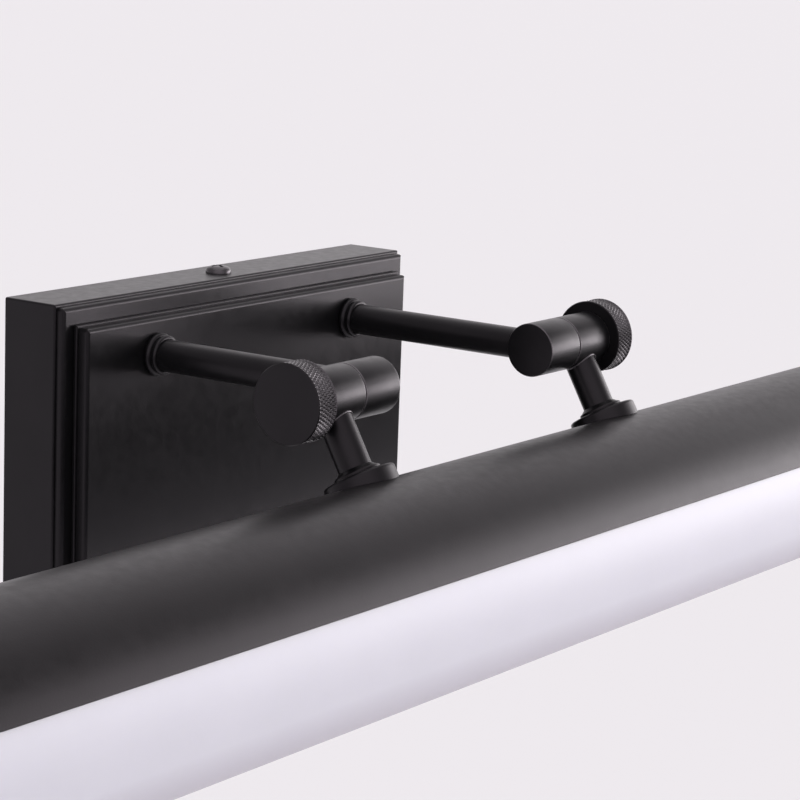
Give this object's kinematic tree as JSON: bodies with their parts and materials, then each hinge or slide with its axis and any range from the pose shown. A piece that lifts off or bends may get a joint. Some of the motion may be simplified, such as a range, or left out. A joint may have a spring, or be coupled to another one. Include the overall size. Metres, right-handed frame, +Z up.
{
  "type": "wall picture light",
  "caption": "Long round LED lamp under an opal diffuser, hung by short stems from two knurled friction knuckles on arms that leave a stepped rectangular wall canopy.",
  "frame": {"origin": "centre of the canopy's outline in the plane of the wall, which is also the centre of the bracket's screw slots", "axes": "+X along the lamp, to the right of a person facing the wall; +Y into the wall, -Y into the room; +Z up"},
  "size_m": [0.46, 0.1208, 0.1174],
  "materials": {
    "black_metal": "satin",
    "black_aluminium": "satin black powder coat",
    "zinc": "zinc plated",
    "ground_green": "satin",
    "brass": "plain",
    "opal": "opal, translucent",
    "board_white": "white solder mask",
    "phosphor": "phosphor gel",
    "case_white": "moulded",
    "cap_orange": "moulded",
    "wire_white": "PVC",
    "wire_green": "PVC",
    "wire_red": "PVC"
  },
  "bodies": {
    "wall_unit": {"canopy_cover": "black_metal", "cover_panel": "black_metal", "wall_bracket": "zinc", "cover_screws": "black_metal", "ground_screw": "ground_green", "arm_left": "black_metal", "arm_right": "black_metal", "collar_left": "black_metal", "collar_right": "black_metal", "arm_washers": "zinc", "arm_nuts": "zinc", "knuckle_base_left": "black_metal", "knuckle_base_right": "black_metal", "friction_washers": "brass", "driver": "case_white", "driver_screws": "zinc", "supply_leads": "wire_white", "wire_connectors": "cap_orange", "ground_lead": "wire_green", "output_leads": "wire_red"},
    "lamp": {"knuckle_head_left": "black_metal", "knuckle_head_right": "black_metal", "stem_left": "black_metal", "stem_right": "black_metal", "saddle_left": "black_metal", "saddle_right": "black_metal", "stem_washers": "zinc", "stem_nuts": "zinc", "lamp_housing": "black_aluminium", "diffuser": "opal", "led_board": "board_white", "led_chips": "phosphor", "board_screws": "zinc", "end_cap_left": "black_aluminium", "end_cap_right": "black_aluminium", "end_cap_screws": "black_metal", "lamp_leads": "wire_red"},
    "washer_left": {"thrust_washer_left": "brass"},
    "thumb_screw_left": {"knob_left": "black_metal", "pivot_screw_left": "zinc"},
    "washer_right": {"thrust_washer_right": "brass"},
    "thumb_screw_right": {"knob_right": "black_metal", "pivot_screw_right": "zinc"}
  },
  "joints": [
    {"name": "lamp_tilt", "type": "hinge", "parent": "wall_unit", "child": "lamp", "pos_m": [0, -0.076, 0.0437], "axis": [1, 0, 0], "range_deg": [-90, 75]},
    {"name": "washer_left_travel", "type": "slide", "parent": "wall_unit", "child": "washer_left", "axis": [-1, 0, 0], "range_m": [0, 0.0007]},
    {"name": "knob_left_turn", "type": "hinge", "parent": "washer_left", "child": "thumb_screw_left", "pos_m": [-0.058, -0.076, 0.0437], "axis": [-1, 0, 0], "range_deg": [0, 360]},
    {"name": "washer_right_travel", "type": "slide", "parent": "wall_unit", "child": "washer_right", "axis": [1, 0, 0], "range_m": [0, 0.0007]},
    {"name": "knob_right_turn", "type": "hinge", "parent": "washer_right", "child": "thumb_screw_right", "pos_m": [0.058, -0.076, 0.0437], "axis": [1, 0, 0], "range_deg": [0, 360]}
  ],
  "couplings": [
    {"joint": "knob_left_turn", "follows": "washer_left_travel", "rad_per_m": 8975.9},
    {"joint": "knob_right_turn", "follows": "washer_right_travel", "rad_per_m": 8975.9}
  ]
}
